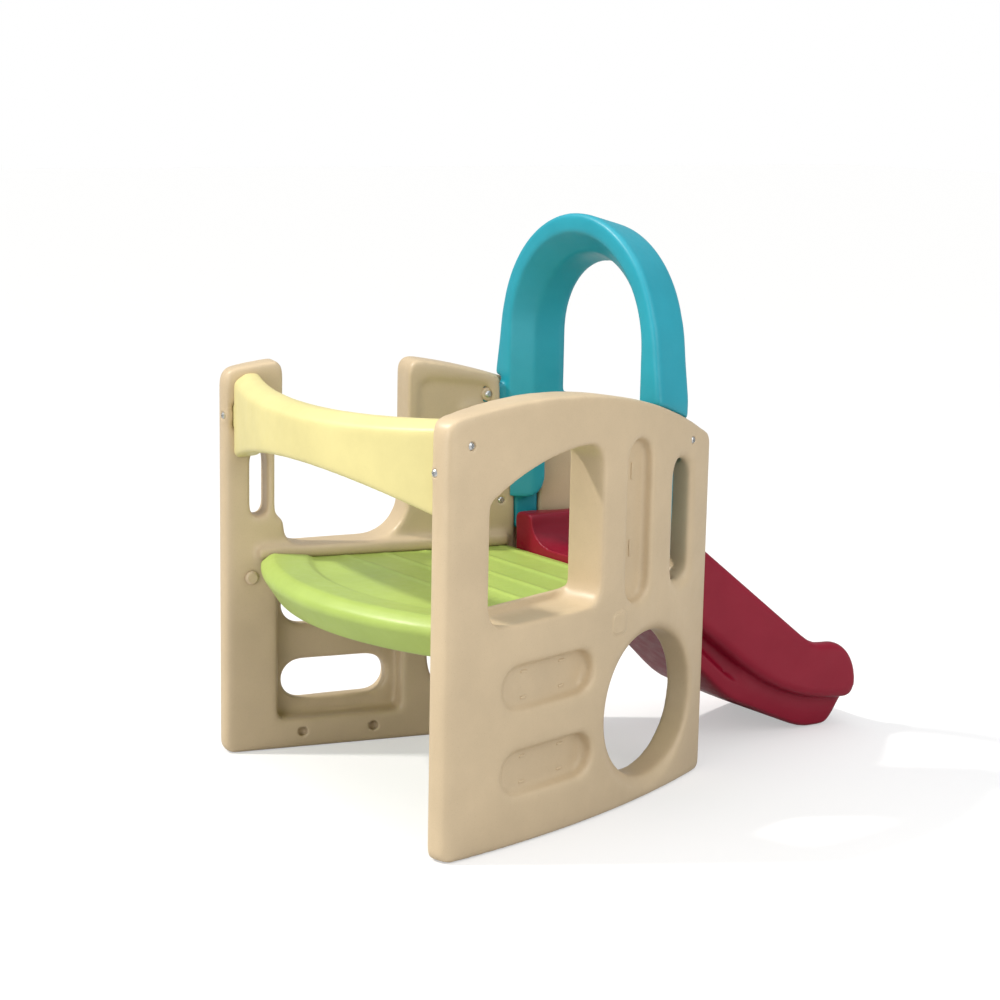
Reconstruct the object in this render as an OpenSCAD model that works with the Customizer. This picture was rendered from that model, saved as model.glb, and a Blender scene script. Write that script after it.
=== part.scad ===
// Toddler climber with a slide: two splayed side panels, a hand rail, a platform, an arch and a chute.
// Millimetres. X across, Y from the entry towards the slide's foot, Z up.

/* [Panels] */
// Width over both panels at the entry
entry_w = 868; // [820:1:960]
// Angle that each panel turns inwards towards the slide
splay = 14.6; // [13:0.1:15]
// Length of a panel along its inner face
panel_len = 822; // [800:1:860]
// Height of a panel at its crown
panel_h = 850; // [820:1:900]
// Distance from the entry end to the crown
crown_s = 250; // [200:1:300]
// Radius of the arched top edge
crown_r = 1284; // [1100:1:1600]
// Thickness of a panel at its two ends
panel_edge_t = 52; // [50:1:60]
// Bulge of the outer face at mid length
panel_bow = 39; // [30:1:50]
// Radius of the upright corners
panel_corner_r = 18; // [10:1:24]
// Radius of the top corner at the entry
top_front_r = 34; // [20:1:45]
// Radius of the top corner at the slide
top_rear_r = 26; // [20:1:35]

/* [Panel openings] */
// Centre of the crawl hole from the entry end
crawl_s = 606; // [590:1:620]
// Height of the crawl hole's centre
crawl_z = 191; // [185:1:215]
// Radius of the crawl hole
crawl_r = 150; // [130:1:165]
// Front edge of the window in the right panel
window_front = 101; // [90:1:130]
// Rear edge of the window
window_rear = 409; // [380:1:425]
// Height of the window sill
window_sill = 432; // [425:1:480]
// Height of the window's top at its highest
window_top = 748; // [700:1:760]
// Radius of the window's arched top
window_top_r = 480; // [450:1:600]
// Centre of the viewing slot from the entry end
slot_s = 700; // [690:1:710]
// Width of the viewing slot
slot_w = 62; // [50:1:80]
// Lower and upper ends of the viewing slot
slot_low = 430; // [410:1:450]
slot_high = 681; // [640:1:690]
// Width of the shallow rebate round the viewing slot
rebate_w = 12; // [8:1:15]
// Width of the crawl hole's flare in the outer face
flare_w = 22; // [10:1:26]
// Centre of the long grip recess from the entry end
groove_s = 531; // [520:1:540]
// Width of the long grip recess
groove_w = 82; // [50:1:90]
// Depth of the recesses in the outer face
recess_deep = 24; // [15:1:28]
// Front and rear ends of the footholds
foothold_front = 138; // [130:1:160]
foothold_rear = 392; // [360:1:396]
// Height of a foothold
foothold_h = 84; // [60:1:90]
// Height of the lower foothold's centre
foothold_low = 142; // [130:1:160]
// Rise from one foothold to the next
foothold_rise = 166; // [150:1:180]
// Front edge of the climbing notch in the left panel
notch_front = 129; // [125:1:140]
// Rear edge of the climbing notch
notch_rear = 405; // [380:1:415]
// Height of the climbing notch's sill
notch_sill = 450; // [445:1:480]
// Front edge of the upright grip hole
grip_front = 58; // [54:1:66]
// Width of the upright grip hole
grip_w = 37; // [28:1:40]

/* [Platform] */
// Height of the platform's rim
rim_z = 440; // [430:1:441]
// Depth of the deck below the rim
deck_drop = 16; // [8:1:20]
// Radius of the bowed front rim
rim_r = 690; // [600:1:760]
// How far the rim stands out in front of the panels
rim_out = 46; // [20:1:60]
// Height of the rim's front face
rim_h = 84; // [60:1:95]
// Thickness of the deck
deck_t = 34; // [25:1:40]
// Pitch of the ridges across the deck
ridge_pitch = 86; // [60:1:100]

/* [Rail] */
// Height of the rail's underside at its ends
rail_end_low = 641; // [630:1:660]
// Height of the rail's top at its ends
rail_end_high = 822; // [800:1:824]
// Height of the rail's underside at mid width
rail_mid_low = 699; // [680:1:710]
// Height of the rail's top at mid width
rail_mid_high = 805; // [780:1:815]
// Depth of the rail from front to back
rail_deep = 62; // [50:1:64]
// How far the rail bows out at mid width
rail_bow = 80; // [50:1:100]

/* [Arch] */
// Distance of the arch's front face from the entry
arch_y = 600; // [596:1:604]
// Depth of the arch from front to back
arch_deep = 106; // [95:1:110]
// Extra depth of the legs below the panels' tops
leg_extra = 18; // [10:1:20]
// Height of the centre of the arch's curve
arch_z = 899; // [870:1:930]
// Width of the arch's front band
arch_band = 40; // [30:1:44]
// Depth of the channel in each panel that a leg stands in
channel_deep = 40; // [34:1:42]
// Height of the legs' round ends
leg_end_z = 530; // [520:1:560]
// Height of the legs' lower tabs
tab_z = 456; // [452:1:470]

/* [Slide] */
// Gap between the slide's walls and the panels' rear ends
slide_gap = 4.5; // [4:0.5:12]
// Half width over the entry flange
flange_half = 196; // [180:1:200]
// Thickness of a side wall at its top
wall_t = 36; // [28:1:42]
// Height of the side walls above the platform's rim at the entry
wall_rise = 64; // [50:1:80]
// Half width of the keel under the chute
keel_half = 132; // [115:1:140]
// Distance of the slide's far end from the entry
slide_end = 1300; // [1280:1:1400]

/* [Fasteners] */
// Diameter of a screw head
head_d = 15; // [12:0.5:18]
// Height of a screw head
head_h = 5; // [4:0.5:6]
// Diameter of a screw's shank
shank_d = 6; // [5:0.5:7]
// Clearance round a shank in the panels
shank_gap = 0.5; // [0.3:0.1:0.8]
// Diameter of the round plugs beside the platform
plug_d = 29; // [24:1:32]

/* [Hidden] */
$fn = 96;
seat = 0.3;
inner_x = entry_w / 2 - panel_edge_t * cos(splay);
inner_y = -panel_edge_t * sin(splay);
bow_r = (pow(panel_len / 2, 2) + pow(panel_bow, 2)) / (2 * panel_bow);
panel_mid_t = panel_edge_t + panel_bow;
deck_z = rim_z - deck_drop;
deck_rear = arch_y + 4;
rail_y = 8;
rail_slope = 19;
slide_half = inner_half(inner_y + panel_len * cos(splay)) - slide_gap;
channel_front = arch_y + 12;
channel_low = 396;
channel_edge = [[channel_front + 6, 740], [channel_front + 42, 530], [channel_front + 44, channel_low]];
channel_back = [[arch_y + 111, channel_low], [arch_y + 111, 654],
    [arch_y + 180, 723], [arch_y + 180, panel_h + 1]];
recess_floor = panel_mid_t - 5 - recess_deep;
pocket_deep = 45;
ledge_t = 18;
ledge_low = deck_z;
ledge_high = rim_z + 12;
wall_top = rim_z + wall_rise;
screw_tip = 26;
plug_s = 60;
plug_z = rim_z - 56;

// Thickness of a panel at distance s along it
function panel_t(s) = panel_mid_t - bow_r + sqrt(pow(bow_r, 2) - pow(s - panel_len / 2, 2));

// Distance of the inner face from the middle at depth y
function inner_half(y) = inner_x - (y - inner_y) * tan(splay);

// Points of a round corner at b between a and c
function corner(a, b, c, r, n) =
    let (u = (a - b) / norm(a - b))
    let (v = (c - b) / norm(c - b))
    let (half = acos(u * v) / 2)
    let (m = b + (u + v) / norm(u + v) * r / sin(half))
    let (p = b + u * r / tan(half) - m)
    let (q = b + v * r / tan(half) - m)
    let (turn = (p[0] * q[1] - p[1] * q[0]) > 0 ? 180 - 2 * half : 2 * half - 180)
    [for (i = [0 : n])
        let (w = turn * i / n)
        m + [p[0] * cos(w) - p[1] * sin(w), p[0] * sin(w) + p[1] * cos(w)]];

// Outline through points [x, y, radius] with round corners
function rounded(pts, n = 6) =
    let (k = len(pts))
    [for (i = [0 : k - 1])
        let (a = pts[(i + k - 1) % k])
        let (b = pts[i])
        let (c = pts[(i + 1) % k])
        each corner([a[0], a[1]], [b[0], b[1]], [c[0], c[1]], b[2], n)];

// Smooth step from 0 at a to 1 at b
function ease(a, b, x) =
    let (u = min(1, max(0, (x - a) / (b - a))))
    u * u * (3 - 2 * u);

// Height along a line of straight [position, height] knots
function straight(knots, x, i = 0) =
    i >= len(knots) - 2 || x <= knots[i + 1][0]
        ? knots[i][1] + (knots[i + 1][1] - knots[i][1])
            * (x - knots[i][0]) / (knots[i + 1][0] - knots[i][0])
        : straight(knots, x, i + 1);

// Mean of straight over a short stretch, which rounds its bends
function bend(knots, x, w) =
    (straight(knots, x - w) + 2 * straight(knots, x - w / 2) + 2 * straight(knots, x)
        + 2 * straight(knots, x + w / 2) + straight(knots, x + w)) / 8;

// Closed skin over rings of points that all have the same count
module skin(rings) {
    count = len(rings[0]);
    last = len(rings) - 1;
    points = [for (ring = rings) each ring];
    sides = [for (i = [0 : last - 1]) for (j = [0 : count - 1])
        each [
            [i * count + j, (i + 1) * count + j, (i + 1) * count + (j + 1) % count],
            [i * count + j, (i + 1) * count + (j + 1) % count, i * count + (j + 1) % count]
        ]];
    polyhedron(points, concat(sides,
        [[for (j = [0 : count - 1]) j]],
        [[for (j = [count - 1 : -1 : 0]) last * count + j]]), convexity = 6);
}

// Section of the platform's rim as [radius, height]
rim_section = rounded([[rim_r - 118, deck_z - deck_t, 4], [rim_r - 118, deck_z, 4],
    [rim_r - 102, rim_z - 7, 4], [rim_r - 28, rim_z, 18], [rim_r, rim_z - 24, 16],
    [rim_r - 40, rim_z - rim_h, 10], [rim_r - 66, rim_z - rim_h, 8],
    [rim_r - 74, deck_z - deck_t, 6]], 5);

// Middle of the object's length, from the rail's foremost point to the slide's end
mid_y = (slide_end + rail_y - rail_bow) / 2;

// Places the object with its base centre at the origin
module place() {
    translate([0, -mid_y, 0]) children();
}

// Right panel's frame: X out through the panel, Y along it, Z up
module at_right() {
    translate([inner_x, inner_y, 0]) rotate([0, 0, splay]) children();
}

// The same frame on each side of the object
module at_both() {
    at_right() children();
    mirror([1, 0, 0]) at_right() children();
}

// Extrudes an outline drawn as [along, up] through a panel from depth a to b
module through(a, b) {
    translate([a, 0, 0]) rotate([90, 0, 90]) linear_extrude(b - a) children();
}

// Outline of a slot with round ends from [s0, z0] to [s1, z1]
module slot_shape(s0, z0, s1, z1) {
    r = min(s1 - s0, z1 - z0) / 2;
    polygon(rounded([[s0, z0, r * 0.98], [s1, z0, r * 0.98],
        [s1, z1, r * 0.98], [s0, z1, r * 0.98]], 10));
}

// What a corner of radius r loses between two directions
module corner_waste(r, a0, a1) {
    mid = (a0 + a1) / 2;
    difference() {
        polygon([[0, 0], 2 * r * [cos(a0), sin(a0)],
            3 * r * [cos(mid), sin(mid)], 2 * r * [cos(a1), sin(a1)]]);
        circle(r);
    }
}

// Plan of a panel: flat inner face, bowed outer face
module panel_plan() {
    r = panel_corner_r;
    bow_x = panel_mid_t - bow_r;
    swing = asin((panel_len / 2 - r) / (bow_r - r));
    outer_x = bow_x + (bow_r - r) * cos(swing);
    difference() {
        intersection() {
            square([panel_mid_t, panel_len]);
            translate([bow_x, panel_len / 2]) circle(bow_r, $fn = 1440);
        }
        translate([r, r]) corner_waste(r, 180, 270);
        translate([r, panel_len - r]) corner_waste(r, 90, 180);
        translate([outer_x, r]) corner_waste(r, -90, -swing);
        translate([outer_x, panel_len - r]) corner_waste(r, swing, 90);
    }
}

// Height of a panel's arched top at distance s along it
function crown_z(s) = panel_h - crown_r + sqrt(pow(crown_r, 2) - pow(s - crown_s, 2));

// Same loss as corner_waste, with the arc in short flats
module corner_chip(r, a0, a1) {
    mid = (a0 + a1) / 2;
    polygon(concat(
        [2 * r * [cos(a0), sin(a0)], 3 * r * [cos(mid), sin(mid)], 2 * r * [cos(a1), sin(a1)]],
        [for (i = [8 : -1 : 0]) let (w = a0 + (a1 - a0) * i / 8) r * [cos(w), sin(w)]]));
}

// What a panel's side outline loses over its arched top and round its corners
module outline_waste() {
    front_turn = asin((crown_s - top_front_r) / (crown_r - top_front_r));
    rear_turn = asin((panel_len - top_rear_r - crown_s) / (crown_r - top_rear_r));
    front_z = panel_h - crown_r + (crown_r - top_front_r) * cos(front_turn);
    rear_z = panel_h - crown_r + (crown_r - top_rear_r) * cos(rear_turn);
    polygon(concat(
        [for (i = [-1 : 25]) let (s = panel_len * i / 24) [s, crown_z(s)]],
        [[panel_len + 60, panel_h + 90], [-60, panel_h + 90]]));
    translate([top_front_r, front_z]) corner_chip(top_front_r, 90 + front_turn, 180);
    translate([panel_len - top_rear_r, rear_z]) corner_chip(top_rear_r, 0, 90 - rear_turn);
    translate([panel_corner_r, panel_corner_r]) corner_chip(panel_corner_r, 180, 270);
    translate([panel_len - panel_corner_r, panel_corner_r])
        corner_chip(panel_corner_r, 270, 360);
}

// Hole for a screw whose head sits in a counterbore, drilled along +X
module screw_hole(depth) {
    translate([-head_h, 0, 0]) rotate([0, 90, 0]) cylinder(h = 60, d = head_d + 2);
    translate([-depth, 0, 0]) rotate([0, 90, 0]) cylinder(h = depth, d = shank_d + 2 * shank_gap);
}

// Pan-head screw with its head's underside at the origin, shank along -X
module screw(long) {
    rotate([0, 90, 0]) {
        difference() {
            union() {
                cylinder(h = head_h * 0.5, d = head_d);
                translate([0, 0, head_h * 0.5]) cylinder(h = head_h * 0.5, d1 = head_d, d2 = head_d * 0.6);
            }
            translate([-head_d * 0.3, -0.9, head_h * 0.55]) cube([head_d * 0.6, 1.8, head_h]);
            translate([-0.9, -head_d * 0.3, head_h * 0.55]) cube([1.8, head_d * 0.6, head_h]);
        }
        translate([0, 0, -long + 3]) cylinder(h = long - 3, d = shank_d);
        translate([0, 0, -long]) cylinder(h = 3, d1 = 1, d2 = shank_d);
    }
}

// Blind hole that a screw's shank fills, from depth a to b along X
module pilot(a, b) {
    translate([a, 0, 0]) rotate([0, 90, 0]) cylinder(h = b - a, d = shank_d);
}

// Places of the screws in a panel's frame
face_screw = [panel_t(51) - head_h, 51, rail_end_high - 43];
edge_screw = [panel_edge_t / 2 - 12, head_h, rail_end_low + 89];
outer_screw = [panel_t(arch_y + 134) - head_h, arch_y + 134, 716];
upper_screw = [head_h, arch_y - 12, 758];
lower_screw = [head_h, arch_y + 22, 523];

// Rail's tenon in a panel: [depth, front, rear, low, high]
tenon = [panel_edge_t - 14, 22, 64, rail_end_low + 61, rail_end_high - 64];
// Forward tongues of an arch leg: [inner depth, outer depth, front]
tongue = [12, 38, arch_y - 28];
tongue_h = 40;

// How far a leg's shoulder stands out beyond its channel, at heights above the arch's centre
shoulder = [[-170, 21], [-100, 21], [-74, 17], [-49, 13], [-24, 9], [1, 6],
    [26, 2.5], [51, -3], [70, -10], [82, -15]];

// Body that both panels share, before their own openings
module panel_blank() {
    difference() {
        union() {
            difference() {
                linear_extrude(panel_h + 1) panel_plan();
                through(-1, panel_mid_t + 1) outline_waste();
            }
            through(-ledge_t, 1)
                polygon(rounded([[71, ledge_low, 4], [arch_y + 38, ledge_low, 4],
                    [arch_y + 38, ledge_high, 8], [71, ledge_high, 8]]));
        }
        through(-1, channel_deep)
            polygon(concat([[channel_front, panel_h + 1]], channel_edge, channel_back));
        through(-1, panel_mid_t + 1) translate([crawl_s, crawl_z]) circle(crawl_r);
        through(-1, pocket_deep)
            polygon(rounded([[119, 67, 12], [396, 67, 12],
                [396, deck_z - 36, 30], [119, deck_z - 36, 30]]));
        translate([-1, tenon[1] - seat, tenon[3] - seat])
            cube([tenon[0] + 1 + seat, tenon[2] - tenon[1] + 2 * seat, tenon[4] - tenon[3] + 2 * seat]);
        for (z = [upper_screw[2], lower_screw[2]])
            translate([tongue[0] - seat, tongue[2] - seat, z - tongue_h / 2 - seat])
                cube([tongue[1] - tongue[0] + 2 * seat, 100, tongue_h + 2 * seat]);
        translate([face_screw[0] + head_h, face_screw[1], face_screw[2]])
            screw_hole(panel_mid_t);
        translate([edge_screw[0], 0, edge_screw[2]]) rotate([0, 0, -90]) screw_hole(tenon[2] + 30);
        translate([outer_screw[0] + head_h, outer_screw[1], outer_screw[2]])
            screw_hole(panel_t(outer_screw[1]) - channel_deep + 1);
        for (p = [upper_screw, lower_screw])
            translate([0, p[1], p[2]]) rotate([0, 0, 180]) screw_hole(tongue[0] + 1);
        for (s = [173, 333])
            translate([-1, s, 36]) rotate([0, 90, 0]) cylinder(h = 16, r = 10.5);
        translate([-1, plug_s, plug_z]) rotate([0, 90, 0]) cylinder(h = 31, d = 14);
    }
}

// Pair of footholds as outlines
module footholds(rear) {
    for (z = [foothold_low, foothold_low + foothold_rise])
        slot_shape(foothold_front, z - foothold_h / 2, rear, z + foothold_h / 2);
}

// Four short tack-off marks in each foothold
module foothold_marks() {
    span = (foothold_rear - foothold_front) * 0.45;
    s_mid = (foothold_front + foothold_rear) / 2;
    for (z = [foothold_low, foothold_low + foothold_rise]) for (u = [-1, 1]) for (v = [-1, 1])
        translate([s_mid + u * span / 2 - 8, z + v * foothold_h * 0.3 - 2]) square([16, 4]);
}

module right_panel() {
    color("tan") place() at_right() difference() {
        panel_blank();
        through(-1, panel_mid_t + 1) difference() {
            intersection() {
                polygon(rounded([[window_front, window_sill, 38], [window_rear, window_sill, 38],
                    [window_rear, window_top + 40, 40], [window_front, window_top + 40, 4]]));
                translate([window_rear - 39, window_top - window_top_r])
                    circle(window_top_r, $fn = 720);
            }
            translate([window_rear - 38, window_top - 38.5]) corner_waste(38, 0, 90);
        }
        through(-1, panel_mid_t + 1)
            slot_shape(slot_s - slot_w / 2, slot_low, slot_s + slot_w / 2, slot_high);
        through(panel_t(slot_s) - 9, panel_mid_t + 1)
            slot_shape(slot_s - slot_w / 2 - rebate_w, slot_low - rebate_w,
                slot_s + slot_w / 2 + rebate_w, slot_high + rebate_w);
        translate([panel_t(crawl_s) - 18, crawl_s, crawl_z]) rotate([0, 90, 0])
            cylinder(h = 36, r1 = crawl_r - 2, r2 = crawl_r - 2 + 2 * flare_w, $fn = 180);
        through(recess_floor, panel_mid_t + 1) {
            slot_shape(groove_s - groove_w / 2, 417, groove_s + groove_w / 2, 742);
            footholds(foothold_rear);
        }
        through(recess_floor - 3, panel_mid_t + 1) {
            foothold_marks();
            for (z = [506, 661])
                translate([groove_s - 2, z]) square([4, 32]);
        }
    }
}

module left_panel() {
    color("tan") place() mirror([1, 0, 0]) at_right() {
        difference() {
            panel_blank();
            through(-ledge_t - 1, panel_mid_t + 1)
                polygon(rounded([[notch_front, panel_h + 60, 4], [notch_front, 752, 16],
                    [notch_front - 17, 722, 16], [notch_front - 17, 518, 12],
                    [notch_front + 3, 502, 12], [notch_front + 3, notch_sill, 34],
                    [notch_rear, notch_sill, 85], [notch_rear, panel_h + 60, 4]]));
            for (s = [notch_front, notch_rear])
                through(-1, panel_mid_t + 1)
                    translate([s, 0]) mirror([s == notch_rear ? 1 : 0, 0])
                        translate([-30, panel_h - 26 - (s == notch_rear ? 14 : 6)])
                            corner_waste(30, 0, 75);
            through(-1, panel_mid_t + 1)
                slot_shape(grip_front, 513, grip_front + grip_w, 655);
            through(pocket_deep - 1, panel_mid_t + 1) footholds(foothold_rear - 18);
            through(-1, 10)
                polygon(rounded([[arch_y - 172, 560, 16], [arch_y - 4, 560, 16],
                    [arch_y - 4, 780, 30], [arch_y - 172, 800, 30]]));
        }
        translate([2, arch_y - 51, 712]) rotate([0, 90, 0]) difference() {
            cylinder(h = 9, r = 27);
            translate([0, 0, -1]) cylinder(h = 7, r = 20);
        }
    }
}

// What lies outside both panels' inner faces, less a gap
module beyond_panels(gap) {
    at_both() translate([-gap, -400, -50]) cube([1200, 2400, 1300]);
}

// Ring of the rail's section at x
function rail_ring(x) =
    let (u = pow(x / inner_half(rail_y), 2))
    let (front = rail_y - rail_bow * (1 - u))
    let (low = rail_mid_low + (rail_end_low - rail_mid_low) * u)
    let (high = rail_mid_high + (rail_end_high - rail_mid_high) * u)
    let (pts = rounded([[front, low, 9], [front + rail_deep, low, 12],
        [front + rail_deep, high, 14], [front + rail_deep * 0.45, high, 20],
        [front, high - rail_slope, 12]], 4))
    [for (p = pts) [x, p[0], p[1]]];

module front_rail() {
    half = inner_half(rail_y) + 20;
    color("khaki") place() difference() {
        union() {
            difference() {
                skin([for (i = [-14 : 14]) rail_ring(half * i / 14)]);
                beyond_panels(0);
            }
            at_both() translate([-20, tenon[1], tenon[3]])
                cube([20 + tenon[0], tenon[2] - tenon[1], tenon[4] - tenon[3]]);
        }
        at_both() translate([0, face_screw[1], face_screw[2]]) pilot(-screw_tip, 1);
        at_both() translate([edge_screw[0], 0, edge_screw[2]]) rotate([0, 0, 90])
            pilot(0, tenon[2] + 1);
    }
}

module platform() {
    rim_y = rim_r - rim_out;
    color("yellowgreen") place() difference() {
        union() {
            translate([0, rim_y, 0]) intersection() {
                rotate_extrude($fn = 360) polygon(rim_section);
                translate([-entry_w / 2, -rim_r - 1, 0]) cube([entry_w, rim_r - 60, rim_z + 1]);
            }
            difference() {
                translate([-entry_w / 2, 60, deck_z - deck_t]) cube([entry_w, deck_rear - 60, deck_t]);
                translate([0, rim_y, deck_z - deck_t - 1]) difference() {
                    cylinder(h = deck_t + 2, r = rim_r * 2);
                    translate([0, 0, -1]) cylinder(h = deck_t + 4, r = rim_r - 108, $fn = 360);
                    translate([-rim_r, 0, -1]) cube([2 * rim_r, rim_r, deck_t + 4]);
                }
            }
            for (i = [0 : 4])
                translate([-entry_w / 2, deck_rear - 26 - i * ridge_pitch, deck_z - 6])
                    rotate([0, 90, 0]) cylinder(h = entry_w, r = 10);
        }
        beyond_panels(seat);
        // room under each panel's ledge and round its plug
        at_both() translate([-ledge_t - seat, -100, ledge_low])
            cube([200, 740, 100]);
        at_both() translate([-plug_d, plug_s, plug_z]) rotate([0, 90, 0])
            cylinder(h = plug_d, d = plug_d + 6);
    }
}

// Half section of the arch as [distance from the middle, depth], down to rear depth y1
function arch_section(y1) =
    let (out_front = inner_half(arch_y) + (channel_deep - seat) / cos(splay))
    let (out_rear = inner_half(y1) + (channel_deep - seat) / cos(splay))
    [[out_front, arch_y, 10], [out_front - arch_band, arch_y, 8],
        [out_front - arch_band - 43, arch_y + 40, 12], [inner_half(y1) - 41, y1, 10],
        [out_rear, y1, 14]];

// Ring of a leg's shoulder at height z, standing out beyond the channel by flare
function shoulder_ring(z, flare) =
    let (front = arch_section(arch_y + arch_deep)[0][0])
    let (rear = arch_section(arch_y + arch_deep)[4][0])
    let (y1 = arch_y + arch_deep - 1)
    [for (p = rounded([[front - 36, arch_y + 1, 2], [front + flare, arch_y + 1, 10],
        [rear + flare, y1, 14], [rear - 36, y1, 2]])) [p[0], p[1], z]];

module arch_leg(y1, z0, z1) {
    translate([0, 0, z0]) linear_extrude(z1 - z0) polygon(rounded(arch_section(y1)));
}

module arch() {
    rear = arch_y + arch_deep;
    color("darkturquoise") place() difference() {
        union() {
            translate([0, 0, arch_z]) intersection() {
                rotate([90, 0, 0]) mirror([0, 0, 1])
                    rotate_extrude($fn = 180) polygon(rounded(arch_section(rear)));
                translate([-500, 0, 0]) cube([1000, 2000, 500]);
            }
            for (side = [0, 1]) mirror([side, 0, 0]) {
                difference() {
                    union() {
                        arch_leg(rear, 700, arch_z);
                        intersection() {
                            arch_leg(rear + leg_extra, leg_end_z - 10, 762);
                            at_right() through(-60, channel_deep)
                                polygon(rounded([[arch_y, leg_end_z, 45], [arch_y + 110, leg_end_z, 42],
                                    [arch_y + 110, 668, 30], [arch_y + 172, 730, 20],
                                    [arch_y + 172, 800, 4], [arch_y, 800, 4]]));
                        }
                    }
                    at_right() {
                        through(channel_deep - seat, 200) square([1200, 2000]);
                        through(-seat, channel_deep) translate([seat, 0])
                            polygon(concat([[channel_front - 40, 740]], channel_edge,
                                [[channel_front - 40, channel_low]]));
                    }
                }
                difference() {
                    skin([for (k = shoulder) shoulder_ring(arch_z + k[0], k[1])]);
                    at_right() through(0, 200) translate([crown_s, panel_h - crown_r])
                        circle(crown_r + seat, $fn = 1440);
                    at_right() through(channel_deep - 10, 200) translate([0, -100])
                        square([1200, panel_h - 100]);
                }
                at_right() {
                    through(4, channel_deep - seat - 1)
                        polygon(rounded([[arch_y + 55, tab_z, 10], [arch_y + 109, tab_z, 10],
                            [arch_y + 109, 640, 4], [arch_y + 55, 640, 4]]));
                    for (p = [upper_screw, lower_screw])
                        translate([tongue[0], tongue[2], p[2] - tongue_h / 2])
                            cube([tongue[1] - tongue[0], p == upper_screw ? 90 : 110, tongue_h]);
                }
            }
        }
        at_both() translate([0, outer_screw[1], outer_screw[2]])
            pilot(channel_deep - screw_tip, channel_deep + 1);
        at_both() for (p = [upper_screw, lower_screw])
            translate([0, p[1], p[2]]) pilot(tongue[0] - 1, tongue[1] - 6);
    }
}

// Heights along the slide
wall_line = [[0, wall_top], [deck_rear + 175, wall_top], [slide_end - 152, 222],
    [slide_end - 130, 207], [slide_end - 76, 204], [slide_end + 400, 204]];
floor_line = [[0, rim_z - 3], [deck_rear + 96, rim_z - 3], [slide_end - 204, 124],
    [slide_end - 94, 90], [slide_end + 706, 82]];
low_line = [[0, rim_z - 48], [deck_rear + 96, rim_z - 48], [slide_end - 290, 150],
    [slide_end - 180, 95], [slide_end - 80, 70], [slide_end + 400, 40]];
keel_line = [[deck_rear - 104, rim_z - 52], [deck_rear + 66, rim_z - 66],
    [slide_end - 350, 106], [slide_end - 124, 4], [slide_end - 100, 0], [slide_end + 400, 0]];

// Drop of the walls' tops round the slide's end
function end_drop(y) =
    let (u = max(0, y - (slide_end - 80)) / 80)
    95 * (1 - sqrt(max(0, 1 - u * u)));

// Rise of the underside round the slide's end
function end_rise(y) =
    let (u = max(0, y - (slide_end - 20)) / 20)
    15 * (1 - sqrt(max(0, 1 - u * u)));

// Rise of the foot towards the slide's end
function keel_rise(y) = 64 * pow(min(1, max(0, y - (slide_end - 50)) / 50), 1.6);

// Half of the chute's section at depth y, from the middle out and round to the underside
function chute_half(y) =
    let (top = bend(wall_line, y, 26) - end_drop(y))
    let (bed = bend(floor_line, y, 60))
    let (low = bend(low_line, y, 60) + end_rise(y))
    let (keel = min(low - 1, bend(keel_line, y, 30) + keel_rise(y)))
    let (out = slide_half + (flange_half - slide_half) * (1 - ease(deck_rear + 20, deck_rear + 120, y)))
    let (in = slide_half - wall_t)
    let (r = min(14, wall_t / 2 - 1))
    let (deep = low - keel)
    let (step = 11 * (1 - ease(slide_end - 348, slide_end - 316, y)))
    concat(
        [for (i = [0 : 8])
            let (w = 90 * i / 8)
            [in - 74 + 74 * sin(w), bed + min(70, max(6, top - bed - r)) * (1 - cos(w))]],
        [for (i = [0 : 3])
            let (w = 90 * i / 3)
            [in + r * (1 - cos(w)), top - r + r * sin(w)]],
        [for (i = [0 : 3])
            let (w = 90 * i / 3)
            [out - r + r * sin(w), top - r + r * cos(w)]],
        [[out - 3, low + 20], [out - 10, low + 5], [out - 24, low]],
        [[keel_half + 6 - step, low], [keel_half - step, low - min(6, deep / 4)],
            [keel_half - step, keel + deep * 0.6], [keel_half, keel + deep * 0.52],
            [keel_half - 4, keel + min(6, deep / 4)], [keel_half - 14, keel]]);

function chute_ring(y) =
    let (half = chute_half(y))
    concat([for (p = half) [p[0], y, p[1]]],
        [for (i = [len(half) - 1 : -1 : 0]) [-half[i][0], y, half[i][1]]]);

slide_stations = concat([for (y = [deck_rear : 24 : slide_end - 70]) y],
    [for (i = [1 : 9]) slide_end - 70 + 70 * sin(10 * i)]);

module slide() {
    color("crimson") place() skin([for (y = slide_stations) chute_ring(y)]);
}

module rail_face_screws() {
    color("silver") place() at_both() translate(face_screw) screw(face_screw[0] + screw_tip - 1);
}

module rail_edge_screws() {
    color("silver") place() at_both() translate([edge_screw[0], edge_screw[1], edge_screw[2]])
        rotate([0, 0, -90]) screw(tenon[2] - edge_screw[1] + 8);
}

module arch_outer_screws() {
    color("silver") place() at_both() translate(outer_screw)
        screw(outer_screw[0] - channel_deep + screw_tip - 2);
}

// Screw through a panel's inner wall into one tongue of the arch
module tongue_screws(p) {
    color("silver") place() at_both() translate(p) rotate([0, 0, 180]) screw(tongue[1] - 8 - head_h);
}

module arch_upper_screws() {
    tongue_screws(upper_screw);
}

module arch_lower_screws() {
    tongue_screws(lower_screw);
}

module platform_plugs() {
    color("wheat") place() at_both() translate([0, plug_s, plug_z]) rotate([0, 90, 0]) {
        translate([0, 0, -4]) cylinder(h = 4, d = plug_d);
        translate([0, 0, -8]) cylinder(h = 4, d1 = plug_d * 0.7, d2 = plug_d);
        cylinder(h = 24, d = 14 - 2 * seat);
    }
}

left_panel();
right_panel();
front_rail();
platform();
arch();
slide();
rail_face_screws();
rail_edge_screws();
arch_outer_screws();
arch_upper_screws();
arch_lower_screws();
platform_plugs();
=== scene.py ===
"""Looks for a toddler climber with a chute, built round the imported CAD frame.

Metres, +Z up, +Y the way the slide descends, +X towards the panel with the window.
"""

import math

import bmesh
import bpy
import numpy as np
from mathutils import Matrix, Vector


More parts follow.
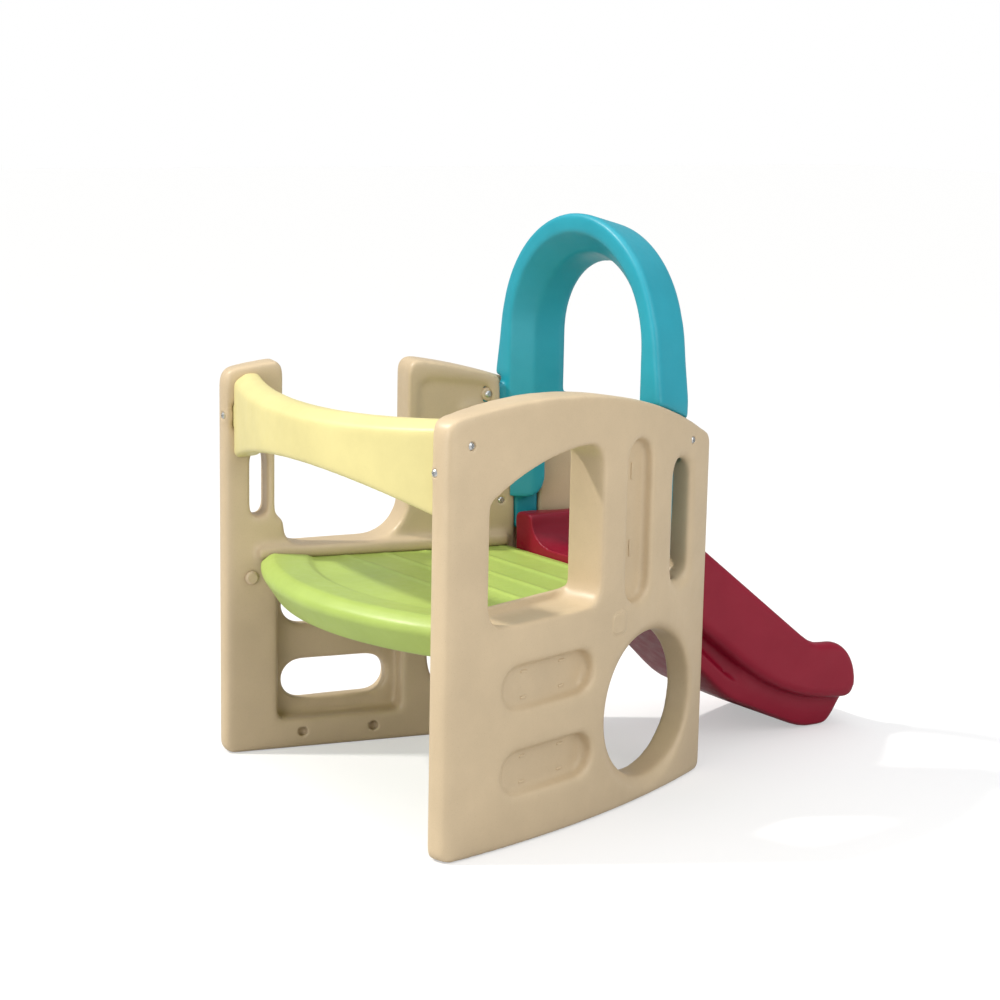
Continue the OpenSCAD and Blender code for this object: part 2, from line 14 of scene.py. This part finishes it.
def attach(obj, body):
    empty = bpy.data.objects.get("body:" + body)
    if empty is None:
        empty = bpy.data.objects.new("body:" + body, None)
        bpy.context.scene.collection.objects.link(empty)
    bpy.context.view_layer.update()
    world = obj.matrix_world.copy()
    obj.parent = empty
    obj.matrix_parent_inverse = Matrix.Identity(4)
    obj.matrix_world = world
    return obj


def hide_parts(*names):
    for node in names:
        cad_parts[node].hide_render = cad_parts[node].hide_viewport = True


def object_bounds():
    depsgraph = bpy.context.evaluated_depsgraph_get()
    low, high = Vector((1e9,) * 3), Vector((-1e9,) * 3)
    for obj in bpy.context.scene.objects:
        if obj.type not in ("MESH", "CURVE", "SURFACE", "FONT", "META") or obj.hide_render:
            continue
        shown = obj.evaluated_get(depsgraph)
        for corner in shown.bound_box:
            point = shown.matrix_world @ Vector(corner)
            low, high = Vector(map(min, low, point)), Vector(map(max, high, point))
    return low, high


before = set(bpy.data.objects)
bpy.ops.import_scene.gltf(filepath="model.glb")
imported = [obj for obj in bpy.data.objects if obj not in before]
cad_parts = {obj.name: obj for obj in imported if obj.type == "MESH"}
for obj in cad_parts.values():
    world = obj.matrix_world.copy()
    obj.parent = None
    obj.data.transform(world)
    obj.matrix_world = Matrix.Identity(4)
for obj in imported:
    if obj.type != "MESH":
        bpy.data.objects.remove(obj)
CAD_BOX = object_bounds()

UP = Vector((0.0, 0.0, 1.0))
# The slide's foot lies this far beyond the entry plane
SLIDE_REACH = 1.3
ENTRY_Y = CAD_BOX[1][1] - SLIDE_REACH

# Camera: yaw from +Y towards -X, pitch below the horizon and roll, in degrees
CAMERA_PLACE = Vector((3.6033, ENTRY_Y - 2.1575, 1.4085))
CAMERA_YAW, CAMERA_PITCH, CAMERA_ROLL = 54.404, 10.636, 1.120
CAMERA_LENS, CAMERA_SENSOR = 78.77, 36.0

# The way sunlight travels, and the sun's width in the sky in degrees
SUN_TRAVEL = Vector((0.503, 0.773, -1.0))
SUN_STRENGTH, SUN_WIDTH = 2.6, 4.0
SUN_COLOUR, BOX_COLOUR, SKY_COLOUR = (1.0, 0.97, 0.92), (1.0, 0.985, 0.965), (0.93, 0.96, 1.0)
# Strength of the sky's light on the scene; the camera itself sees plain white
SKY_STRENGTH = 0.46
# Soft boxes: name, watts, side, place and the point that it faces
SOFT_BOXES = (
    ("side_box", 54.0, 3.0, (3.4, 0.4, 1.9), (0.3, 0.0, 0.4)),
    ("front_box", 40.0, 2.0, (1.2, -3.6, 1.3), (0.2, 0.0, 0.4)),
    ("top_box", 55.0, 4.0, (0.4, -0.3, 3.4), (0.2, 0.0, 0.0)),
)

FLOOR_HALF = 30.0
FLOOR_GREY = 0.56
# Glow that lifts the floor to white for the camera and lights nothing
FLOOR_GLOW = 0.42


# ---------------------------------------------------------------- stage
def add_object(name, data):
    made = bpy.data.objects.new(name, data)
    bpy.context.scene.collection.objects.link(made)
    return made


def make_camera():
    yaw, pitch, roll = (math.radians(v) for v in (CAMERA_YAW, CAMERA_PITCH, CAMERA_ROLL))
    ahead = Vector((-math.sin(yaw) * math.cos(pitch), math.cos(yaw) * math.cos(pitch), -math.sin(pitch)))
    level = Vector((math.cos(yaw), math.sin(yaw), 0.0))
    above = level.cross(ahead)
    right = level * math.cos(roll) + above * math.sin(roll)
    up = above * math.cos(roll) - level * math.sin(roll)
    data = bpy.data.cameras.new("camera")
    data.lens = CAMERA_LENS
    data.sensor_width = CAMERA_SENSOR
    camera = add_object("camera", data)
    turn = Matrix((right, up, -ahead)).transposed().to_4x4()
    camera.matrix_world = Matrix.Translation(CAMERA_PLACE) @ turn
    bpy.context.scene.camera = camera


def add_lamp(light, place, way):
    lamp = add_object(light.name, light)
    lamp.location = place
    lamp.rotation_mode = "QUATERNION"
    lamp.rotation_quaternion = way.to_track_quat("-Z", "Y")


def make_lamps():
    sun = bpy.data.lights.new("sun", "SUN")
    sun.energy = SUN_STRENGTH
    sun.angle = math.radians(SUN_WIDTH)
    sun.color = SUN_COLOUR
    add_lamp(sun, (0.0, 0.0, 0.0), SUN_TRAVEL)
    for name, watts, side, place, target in SOFT_BOXES:
        area = bpy.data.lights.new(name, "AREA")
        area.energy = watts
        area.size = side
        area.color = BOX_COLOUR
        add_lamp(area, place, Vector(target) - Vector(place))


def make_world():
    world = bpy.data.worlds.new("studio")
    world.use_nodes = True
    tree = world.node_tree
    tree.nodes.clear()
    out = tree.nodes.new("ShaderNodeOutputWorld")
    seen = tree.nodes.new("ShaderNodeBackground")
    seen.inputs["Color"].default_value = (1.0, 1.0, 1.0, 1.0)
    light = tree.nodes.new("ShaderNodeBackground")
    light.inputs["Color"].default_value = (*SKY_COLOUR, 1.0)
    light.inputs["Strength"].default_value = SKY_STRENGTH
    path = tree.nodes.new("ShaderNodeLightPath")
    pick = tree.nodes.new("ShaderNodeMixShader")
    tree.links.new(path.outputs["Is Camera Ray"], pick.inputs[0])
    tree.links.new(light.outputs[0], pick.inputs[1])
    tree.links.new(seen.outputs[0], pick.inputs[2])
    tree.links.new(pick.outputs[0], out.inputs["Surface"])
    bpy.context.scene.world = world
    bpy.context.scene.view_settings.view_transform = "Standard"


def make_floor():
    corners = [(x * FLOOR_HALF, y * FLOOR_HALF, 0) for x, y in ((-1, -1), (1, -1), (1, 1), (-1, 1))]
    mesh = bpy.data.meshes.new("floor")
    mesh.from_pydata(corners, [], [(0, 1, 2, 3)])
    floor = add_object("floor", mesh)
    material = bpy.data.materials.new("floor")
    material.use_nodes = True
    tree = material.node_tree
    shader = tree.nodes["Principled BSDF"]
    shader.inputs["Base Color"].default_value = (FLOOR_GREY, FLOOR_GREY, FLOOR_GREY, 1.0)
    shader.inputs["Roughness"].default_value = 0.9
    shader.inputs["Specular IOR Level"].default_value = 0.1
    shader.inputs["Emission Color"].default_value = (1.0, 1.0, 1.0, 1.0)
    path = tree.nodes.new("ShaderNodeLightPath")
    glow = tree.nodes.new("ShaderNodeMath")
    glow.operation = "MULTIPLY"
    glow.inputs[1].default_value = FLOOR_GLOW
    tree.links.new(path.outputs["Is Camera Ray"], glow.inputs[0])
    tree.links.new(glow.outputs[0], shader.inputs["Emission Strength"])
    mesh.materials.append(material)


# ---------------------------------------------------------------- materials
class Nodes:
    """Small helper round a material's node tree."""

    def __init__(self, name):
        self.material = bpy.data.materials.new(name)
        self.material.use_nodes = True
        self.tree = self.material.node_tree
        self.shader = self.tree.nodes["Principled BSDF"]
        self.place = self.add("ShaderNodeTexCoord").outputs["Object"]

    def add(self, kind, **values):
        """A node whose own settings, or else whose sockets, take the values."""
        node = self.tree.nodes.new(kind)
        for key, value in values.items():
            if hasattr(node, key):
                setattr(node, key, value)
            else:
                node.inputs[key].default_value = value
        return node

    def link(self, out, into):
        self.tree.links.new(out, into)

    def noise(self, scale, detail=2.0, roughness=0.5, distortion=0.0):
        node = self.add("ShaderNodeTexNoise", Scale=scale, Detail=detail, Roughness=roughness,
                        Distortion=distortion)
        self.link(self.place, node.inputs["Vector"])
        return node.outputs["Fac"]

    def ramp(self, factor, low, high, at_low=0.0, at_high=1.0):
        node = self.add("ShaderNodeMapRange", clamp=True)
        self.link(factor, node.inputs["Value"])
        for key, value in zip(("From Min", "From Max", "To Min", "To Max"), (low, high, at_low, at_high)):
            node.inputs[key].default_value = value
        return node.outputs["Result"]

    def mix(self, factor, base, other):
        """Colour between base and other, each a colour or a socket."""
        node = self.add("ShaderNodeMix", data_type="RGBA")
        self.link(factor, node.inputs["Factor"])
        for socket, value in ((node.inputs["A"], base), (node.inputs["B"], other)):
            if hasattr(value, "is_output"):
                self.link(value, socket)
            else:
                socket.default_value = (*value, 1.0)
        return node.outputs["Result"]

    def bump(self, heights):
        """Stacked bumps, from rows of (factor, distance in metres)."""
        normal = None
        for factor, distance in heights:
            node = self.add("ShaderNodeBump", Distance=distance, Strength=1.0)
            self.link(factor, node.inputs["Height"])
            if normal is not None:
                self.link(normal, node.inputs["Normal"])
            normal = node.outputs["Normal"]
        self.link(normal, self.shader.inputs["Normal"])


# Noise scales of moulded plastic, from broad to fine
WAVE, CLOUD, RUB, PALE_FLECK, DARK_FLECK, ORANGE_PEEL = 16.0, 6.0, 38.0, 430.0, 520.0, 620.0
WAVE_DEEP, PEEL_DEEP = 0.0012, 0.0001


def tinted(colour, share, lift=0.0):
    return tuple(min(1.0, c * share + lift) for c in colour)


def moulded_plastic(name, colour, fleck, fleck_share, rough=0.42, gloss=0.5):
    """Rotomoulded polyethylene: cloudy colour, fine flecks, patchy roughness, an orange-peel skin, a painted
    highlight along outer edges and painted shade in creases.
    """
    n = Nodes(name)
    cloud = n.ramp(n.noise(CLOUD, 5.0, 0.6), 0.3, 0.7)
    body = n.mix(cloud, tinted(colour, 0.93), tinted(colour, 1.06, 0.004))
    dark = n.ramp(n.noise(DARK_FLECK, 1.0, 0.4), 0.64, 0.74, 0.0, fleck_share)
    body = n.mix(dark, body, fleck)
    pale = n.ramp(n.noise(PALE_FLECK, 1.0, 0.4, 0.3), 0.66, 0.76, 0.0, fleck_share)
    body = n.mix(pale, body, tinted(colour, 1.3, 0.02))
    edge = n.add("ShaderNodeNewGeometry").outputs["Pointiness"]
    # Painted highlight: outer edges lightened by their pointiness
    body = n.mix(n.ramp(edge, 0.51, 0.58, 0.0, 0.3), body, tinted(colour, 1.2, 0.02))
    # Painted shade: creases and inner corners darkened by their pointiness
    body = n.mix(n.ramp(edge, 0.49, 0.42, 0.0, 0.35), body, tinted(colour, 0.72))
    n.link(body, n.shader.inputs["Base Color"])
    rubbed = n.ramp(n.noise(RUB, 4.0, 0.6), 0.3, 0.7, rough - 0.05, rough + 0.07)
    n.link(rubbed, n.shader.inputs["Roughness"])
    n.shader.inputs["Specular IOR Level"].default_value = gloss
    n.bump([(n.noise(WAVE, 2.0, 0.4), WAVE_DEEP), (n.noise(ORANGE_PEEL), PEEL_DEEP)])
    return n.material


def zinc_steel():
    """Zinc-plated screw steel, cloudy and lightly brushed."""
    n = Nodes("zinc_steel")
    cloud = n.ramp(n.noise(900.0, 3.0, 0.6), 0.35, 0.65)
    n.link(n.mix(cloud, (0.50, 0.51, 0.50), (0.68, 0.69, 0.70)), n.shader.inputs["Base Color"])
    n.shader.inputs["Metallic"].default_value = 1.0
    n.link(n.ramp(n.noise(1500.0), 0.3, 0.7, 0.24, 0.42), n.shader.inputs["Roughness"])
    n.bump([(n.noise(2400.0), 0.00004)])
    return n.material


# ---------------------------------------------------------------- places on the panels
# The panels' own frame, as part.scad has it: out through a panel, along it and up
SPLAY = math.radians(14.6)
HALF_ENTRY, PANEL_EDGE_T = 0.434, 0.052
INNER_X = HALF_ENTRY - PANEL_EDGE_T * math.cos(SPLAY)
INNER_Y = ENTRY_Y - PANEL_EDGE_T * math.sin(SPLAY)
LEFT, RIGHT = -1, 1

SCREWS = ("rail_face_screws", "rail_edge_screws", "arch_outer_screws", "arch_upper_screws",
          "arch_lower_screws")
COUNTERBORE_R, FOOT_HOLE_R = 0.0085, 0.0105
FOOT_HOLES_ALONG, FOOT_HOLES_UP = (0.173, 0.333), 0.036


def in_panel(side, out, along, up):
    """World point from a panel's own frame."""
    x = INNER_X + out * math.cos(SPLAY) - along * math.sin(SPLAY)
    return Vector((side * x, INNER_Y + out * math.sin(SPLAY) + along * math.cos(SPLAY), up))


def panel_axes(side):
    """Ways out through a panel and along it."""
    out = Vector((side * math.cos(SPLAY), math.sin(SPLAY), 0.0))
    return out, Vector((-side * math.sin(SPLAY), math.cos(SPLAY), 0.0))


def screw_axis(node, side):
    """Middle of a screw's head and the way it points, from the CAD node's own mesh."""
    points = points_of(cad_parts[node].data)
    points = points[points[:, 0] * side > 0]
    middle = points.mean(axis=0)
    way = np.linalg.svd(points - middle, full_matrices=False)[2][0]
    reach = (points - middle) @ way
    across = np.linalg.norm(points - middle - reach[:, None] * way, axis=1)
    if reach[across.argmax()] < 0:
        way, reach = -way, -reach
    return middle + way * reach.max(), way


def panel_holes(side):
    """The panel's small round holes, as rows of (centre, axis, radius)."""
    holes = [(*screw_axis(node, side), COUNTERBORE_R) for node in SCREWS]
    out = np.array(panel_axes(side)[0])
    holes += [(np.array(in_panel(side, 0.0, along, FOOT_HOLES_UP)), out, FOOT_HOLE_R)
              for along in FOOT_HOLES_ALONG]
    return holes


# ---------------------------------------------------------------- meshes
# Share of the way to its neighbours' mean that a point moves in one pass of relax
RELAX_SHARE = 0.7
# A small hole acts this far along its axis, and points this near its radius are its wall
HOLE_REACH, WALL_NEAR = 0.03, 0.0019
# Smoothing starts this far outside the hole's radius and takes this distance to reach its full share
SMOOTH_FROM, SMOOTH_OVER = 0.004, 0.006
PAD_STEPS = 28
# From a pad's foot to its crown: share of its half width, and height as a share of its rise
PAD_PROFILE = ((1.0, -0.6), (1.0, 0.35), (0.93, 0.8), (0.8, 1.0))


def even_mesh(node, voxel):
    """A CAD node's surface as an even net of quads."""
    rough = add_object(node + "_rough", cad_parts[node].data.copy())
    remesh = rough.modifiers.new("even", "REMESH")
    remesh.mode = "VOXEL"
    remesh.voxel_size = voxel
    mesh = bpy.data.meshes.new_from_object(rough.evaluated_get(bpy.context.evaluated_depsgraph_get()))
    bpy.data.objects.remove(rough)
    return mesh


def points_of(mesh):
    flat = np.empty(len(mesh.vertices) * 3)
    mesh.vertices.foreach_get("co", flat)
    return flat.reshape(-1, 3)


def relax(mesh, points, passes, weight):
    """Moves points towards their neighbours' mean, which rounds the edges between faces."""
    count = len(points)
    ends = np.empty(len(mesh.edges) * 2, np.int64)
    mesh.edges.foreach_get("vertices", ends)
    a, b = ends.reshape(-1, 2).T
    degree = np.bincount(a, minlength=count) + np.bincount(b, minlength=count)
    step = RELAX_SHARE * weight[:, None]
    for _ in range(passes):
        total = np.stack([np.bincount(a, points[b, k], count) + np.bincount(b, points[a, k], count)
                          for k in range(3)], axis=1)
        points += step * (total / degree[:, None] - points)


def round_holes(points, holes):
    """Makes the walls of small holes truly round; returns each point's share of smoothing, 0 there."""
    weight = np.ones(len(points))
    for centre, way, radius in holes:
        off = points - centre
        reach = off @ way
        spoke = off - reach[:, None] * way
        across = np.linalg.norm(spoke, axis=1)
        near = np.abs(reach) < HOLE_REACH
        free = np.clip((across - radius - SMOOTH_FROM) / SMOOTH_OVER, 0.0, 1.0)
        weight[near] = np.minimum(weight[near], free[near])
        wall = near & (np.abs(across - radius) < WALL_NEAR)
        points[wall] += spoke[wall] * (radius / across[wall] - 1.0)[:, None]
    return weight


def show(name, mesh, material, slot, *nodes):
    """Puts a mesh on the part as a smooth piece that stands for the CAD nodes, if any are named."""
    mesh.polygons.foreach_set("use_smooth", np.ones(len(mesh.polygons), bool))
    mesh.materials.clear()
    mesh.materials.append(material)
    mesh.update()
    piece = add_object(name, mesh)
    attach(piece, "root")
    if nodes:
        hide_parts(*nodes)


def moulding(node, voxel, passes, material, slot, holes=()):
    """The node's smooth moulded surface, which stands for its CAD solid."""
    mesh = even_mesh(node, voxel)
    points = points_of(mesh)
    relax(mesh, points, passes, round_holes(points, holes))
    mesh.vertices.foreach_set("co", points.ravel())
    show(node + "_moulding", mesh, material, slot, node)


def outline_place(flat, corner, turned, inset):
    """One coordinate on a rounded rectangle's outline, drawn in towards the middle by the inset."""
    place = math.copysign(flat, turned) + corner * turned
    return place - math.copysign(min(abs(place), inset), place)


def pads(name, side, facing, rows, rounding):
    """Low crowned pads on a panel, from rows of (out, along, up, width, height, rise).

    They rise outwards where facing is 1 and inwards where it is -1. Their corner radius is the
    rounding's share of the short side.
    """
    way_out, way_along = panel_axes(side)
    way = way_out * facing
    work = bmesh.new()
    for out, along, up, width, height, rise in rows:
        middle = in_panel(side, out, along, up)
        short = min(width, height)
        corner = short * rounding
        loops = []
        for share, lift in PAD_PROFILE:
            inset = (1.0 - share) * short / 2
            loop = []
            for i in range(PAD_STEPS):
                turn = 2 * math.pi * i / PAD_STEPS
                u = outline_place(width / 2 - corner, corner, math.cos(turn), inset)
                v = outline_place(height / 2 - corner, corner, math.sin(turn), inset)
                loop.append(work.verts.new(middle + way_along * u + UP * v + way * (rise * lift)))
            loops.append(loop)
        crown = work.verts.new(middle + way * rise)
        for low, high in zip(loops, loops[1:]):
            for i in range(PAD_STEPS):
                j = (i + 1) % PAD_STEPS
                work.faces.new((low[i], low[j], high[j], high[i]))
        for i in range(PAD_STEPS):
            work.faces.new((loops[-1][i], loops[-1][(i + 1) % PAD_STEPS], crown))
        work.faces.new(list(reversed(loops[0])))
    bmesh.ops.recalc_face_normals(work, faces=work.faces)
    mesh = bpy.data.meshes.new(name)
    work.to_mesh(mesh)
    work.free()
    show(name, mesh, TAN, "panel")


def dress(node, material):
    """Gives a CAD node that is shown as it is the material."""
    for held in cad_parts[node].material_slots:
        held.material = material


# ---------------------------------------------------------------- the part
make_camera()
make_lamps()
make_world()
make_floor()

# Name, colour, colour of the dark flecks and how strongly flecks show
TAN = moulded_plastic("tan_plastic", (0.545, 0.425, 0.27), (0.22, 0.16, 0.10), 0.16)
YELLOW = moulded_plastic("yellow_plastic", (0.66, 0.585, 0.255), (0.45, 0.38, 0.18), 0.08)
GREEN = moulded_plastic("green_plastic", (0.375, 0.495, 0.105), (0.24, 0.33, 0.08), 0.1)
TEAL = moulded_plastic("teal_plastic", (0.007, 0.295, 0.385), (0.01, 0.2, 0.28), 0.08)
RED = moulded_plastic("red_plastic", (0.25, 0.002, 0.020), (0.16, 0.004, 0.016), 0.08, rough=0.36, gloss=0.3)
STEEL = zinc_steel()

# Node, side of the net's squares, and passes of smoothing, which set how round its edges are
FINE, COARSE = 0.0032, 0.0036
moulding("left_panel", COARSE, 22, TAN, "panel", panel_holes(LEFT))
moulding("right_panel", COARSE, 22, TAN, "panel", panel_holes(RIGHT))
moulding("front_rail", FINE, 12, YELLOW, "rail")
moulding("platform", COARSE, 5, GREEN, "platform")
moulding("arch", FINE, 9, TEAL, "arch")
moulding("slide", FINE, 7, RED, "slide")

# Tack-off marks: four in each foothold's floor and one at each end of the long grip's
RECESS_OUT = 0.0612
MARK_LONG, MARK_WIDE, MARK_RISE = 0.017, 0.0055, 0.0028
FOOTHOLD_ALONG, FOOTHOLDS_UP = 0.265, (0.142, 0.308)
MARKS_APART_ALONG, MARKS_APART_UP = 0.1142, 0.0504
GRIP_ALONG, GRIP_MARKS_UP = 0.531, (0.522, 0.677)
ENDS = (-0.5, 0.5)
marks = [(RECESS_OUT, FOOTHOLD_ALONG + end * MARKS_APART_ALONG, middle + tier * MARKS_APART_UP,
          MARK_LONG, MARK_WIDE, MARK_RISE)
         for middle in FOOTHOLDS_UP for tier in ENDS for end in ENDS]
marks += [(RECESS_OUT, GRIP_ALONG, up, MARK_WIDE, 2 * MARK_LONG, MARK_RISE) for up in GRIP_MARKS_UP]
SOFT_CORNERS = 0.32
pads("right_panel_marks", RIGHT, 1, marks, SOFT_CORNERS)

# Plain stepped square on the outer skin, over the crawl hole
SKIN_OUT, SQUARE_ALONG, SQUARE_UP = 0.0886, 0.467, 0.385
SQUARE, SQUARE_BORDER = 0.054, 0.006
SQUARE_INSIDE = SQUARE - 2 * SQUARE_BORDER
pads("right_panel_square", RIGHT, 1, [
    (SKIN_OUT, SQUARE_ALONG, SQUARE_UP, SQUARE, SQUARE, 0.0026),
    (SKIN_OUT + 0.002, SQUARE_ALONG, SQUARE_UP, SQUARE_INSIDE, SQUARE_INSIDE, 0.0018),
], SOFT_CORNERS)

# Round boss inside the left panel, under the head of the arch's upper screw
FULLY_ROUND, BOSS_WIDE = 0.5, 0.030
pads("left_panel_boss", LEFT, -1, [(0.0115, 0.588, 0.758, BOSS_WIDE, BOSS_WIDE, 0.0065)], FULLY_ROUND)

for node in SCREWS:
    dress(node, STEEL)
dress("platform_plugs", TAN)
